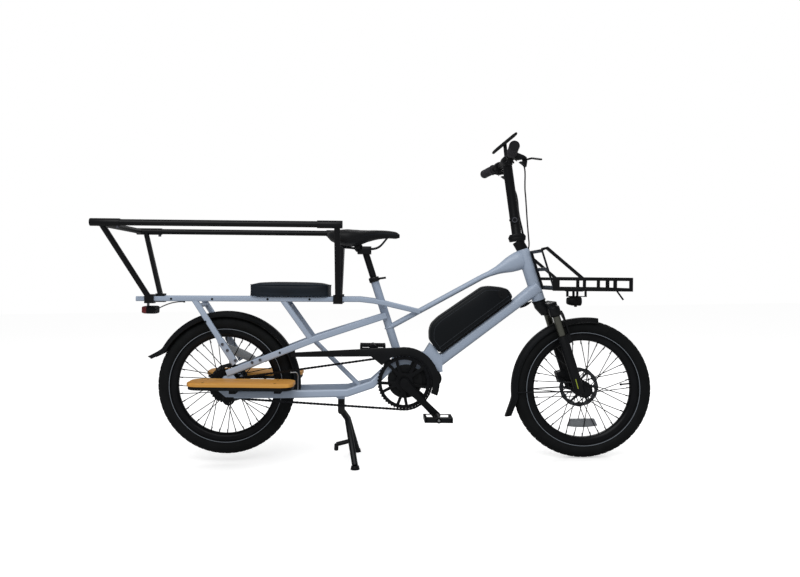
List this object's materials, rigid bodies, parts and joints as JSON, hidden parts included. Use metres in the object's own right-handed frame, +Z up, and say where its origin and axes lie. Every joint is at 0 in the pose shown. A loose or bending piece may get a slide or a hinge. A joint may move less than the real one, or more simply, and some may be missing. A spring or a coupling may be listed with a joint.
{
  "type": "longtail cargo bicycle",
  "caption": "Step-through electric longtail cargo bicycle with small wheels, passenger railing, cushion, footboards, front tray and centre stand.",
  "frame": {"origin": "centre of the bounding box at floor level, under the stand's feet and the front tyre", "axes": "+X towards the front wheel, +Y towards the rider's left, +Z up"},
  "size_m": [2.005, 0.6764, 1.2222],
  "materials": {
    "frame_paint": "satin pearl",
    "black_paint": "satin",
    "black_plastic": "matte",
    "battery_case": "satin",
    "tyre_rubber": "matte",
    "grip_rubber": "matte",
    "bright_steel": "brushed",
    "dark_steel": "dark brushed",
    "wood": "oiled",
    "vinyl": "fine grain",
    "red_lens": "gloss"
  },
  "bodies": {
    "frame": {"head_tube": "frame_paint", "top_tube": "frame_paint", "down_tube": "frame_paint", "seat_tube": "frame_paint", "rear_rack": "frame_paint", "rear_stays": "frame_paint", "struts": "frame_paint", "middle_stays": "frame_paint", "lower_tubes": "frame_paint", "battery_rail": "black_paint", "motor": "black_paint", "chain_guard": "black_plastic", "chain": "dark_steel", "derailleur": "black_paint", "rear_axle": "bright_steel", "rear_fender": "black_plastic", "top_rail": "black_paint", "front_post_right": "black_paint", "front_post_left": "black_paint", "rear_post_right": "black_paint", "rear_post_left": "black_paint", "cushion": "vinyl", "footboard_right": "wood", "footboard_left": "wood", "footboard_base_right": "black_plastic", "footboard_base_left": "black_plastic", "tail_light": "red_lens", "front_rack": "black_paint", "headlight": "black_plastic"},
    "battery_pack": {"battery": "battery_case"},
    "steering": {"fork_crown": "black_paint", "stem_base": "black_paint"},
    "bar_assembly": {"handlepost": "black_paint", "handlebar": "black_paint", "grip_right": "grip_rubber", "grip_left": "grip_rubber", "display": "black_plastic", "right_brake_hose": "grip_rubber", "left_cables": "grip_rubber"},
    "right_lever": {"brake_lever_right": "dark_steel"},
    "left_lever": {"brake_lever_left": "dark_steel"},
    "sliding_fork": {"fork_lowers": "black_paint", "front_fender": "black_plastic"},
    "front_wheel": {"front_hub": "bright_steel", "front_rim": "black_paint", "front_tyre": "tyre_rubber"},
    "rear_wheel": {"rear_hub": "bright_steel", "rear_rim": "black_paint", "rear_tyre": "tyre_rubber"},
    "cogs": {"cassette": "dark_steel"},
    "guide_wheel": {"guide_pulley": "black_plastic"},
    "tension_wheel": {"tension_pulley": "black_plastic"},
    "crank_set": {"crank_right": "dark_steel", "crank_left": "dark_steel"},
    "right_pedal": {"pedal_right": "black_plastic"},
    "left_pedal": {"pedal_left": "black_plastic"},
    "stand": {"center_stand": "black_paint"},
    "seat": {"seatpost": "black_paint", "saddle": "vinyl"},
    "clamp_lever": {"seat_lever": "bright_steel"}
  },
  "joints": [
    {"name": "battery_slide", "type": "slide", "parent": "frame", "child": "battery_pack", "axis": [0.8081, 0, 0.589], "range_m": [0, 0.03]},
    {"name": "steering_turn", "type": "hinge", "parent": "frame", "child": "steering", "pos_m": [0.56006, 0, 0.68479], "axis": [-0.2854, 0, 0.9584], "range_deg": [-45, 45]},
    {"name": "post_fold", "type": "hinge", "parent": "steering", "child": "bar_assembly", "pos_m": [0.50964, 0.029, 0.83098], "axis": [-0.9928, 0, -0.1199], "range_deg": [0, 90], "deforming": ["right_brake_hose", "left_cables"]},
    {"name": "right_lever_pull", "type": "hinge", "parent": "bar_assembly", "child": "right_lever", "pos_m": [0.50128, -0.186, 1.09162], "axis": [0.1199, 0, -0.9928], "range_deg": [0, 18], "stiffness_Nm_per_rad": 1.5},
    {"name": "left_lever_pull", "type": "hinge", "parent": "bar_assembly", "child": "left_lever", "pos_m": [0.50128, 0.186, 1.09162], "axis": [-0.1199, 0, 0.9928], "range_deg": [0, 18], "stiffness_Nm_per_rad": 1.5},
    {"name": "fork_travel", "type": "slide", "parent": "steering", "child": "sliding_fork", "axis": [-0.2854, 0, 0.9584], "range_m": [0, 0.04], "stiffness_N_per_m": 8000, "springref_m": -0.03},
    {"name": "front_wheel_spin", "type": "hinge", "parent": "sliding_fork", "child": "front_wheel", "pos_m": [0.74456, 0, 0.258], "axis": [0, 1, 0], "continuous": true},
    {"name": "rear_wheel_spin", "type": "hinge", "parent": "frame", "child": "rear_wheel", "pos_m": [-0.59103, 0, 0.29099], "axis": [0, 1, 0], "continuous": true},
    {"name": "crank_turn", "type": "hinge", "parent": "frame", "child": "crank_set", "pos_m": [0.07504, 0, 0.29784], "axis": [0, 1, 0], "continuous": true},
    {"name": "cassette_spin", "type": "hinge", "parent": "frame", "child": "cogs", "pos_m": [-0.59103, 0, 0.29099], "axis": [0, 1, 0], "continuous": true},
    {"name": "guide_pulley_spin", "type": "hinge", "parent": "frame", "child": "guide_wheel", "pos_m": [-0.57617, 0, 0.24461], "axis": [0, 1, 0], "continuous": true},
    {"name": "tension_pulley_spin", "type": "hinge", "parent": "frame", "child": "tension_wheel", "pos_m": [-0.52166, 0, 0.26477], "axis": [0, 1, 0], "continuous": true},
    {"name": "right_pedal_spin", "type": "hinge", "parent": "crank_set", "child": "right_pedal", "pos_m": [0.18983, -0.08, 0.17932], "axis": [0, 1, 0], "continuous": true},
    {"name": "left_pedal_spin", "type": "hinge", "parent": "crank_set", "child": "left_pedal", "pos_m": [-0.03976, 0.08, 0.41637], "axis": [0, 1, 0], "continuous": true},
    {"name": "stand_fold", "type": "hinge", "parent": "frame", "child": "stand", "pos_m": [-0.16139, 0, 0.19035], "axis": [0, 1, 0], "range_deg": [0, 88], "stiffness_Nm_per_rad": 12, "springref_deg": -34.38},
    {"name": "seat_height", "type": "slide", "parent": "frame", "child": "seat", "axis": [-0.29, 0, 0.957], "range_m": [-0.045, 0.09]},
    {"name": "clamp_lever_swing", "type": "hinge", "parent": "frame", "child": "clamp_lever", "pos_m": [-0.04282, -0.0235, 0.6792], "axis": [0.29, 0, -0.957], "range_deg": [0, 100]}
  ],
  "couplings": [
    {"joint": "cassette_spin", "follows": "crank_turn", "ratio": 4.1224},
    {"joint": "guide_pulley_spin", "follows": "crank_turn", "ratio": -5.05},
    {"joint": "tension_pulley_spin", "follows": "crank_turn", "ratio": 5.05}
  ]
}
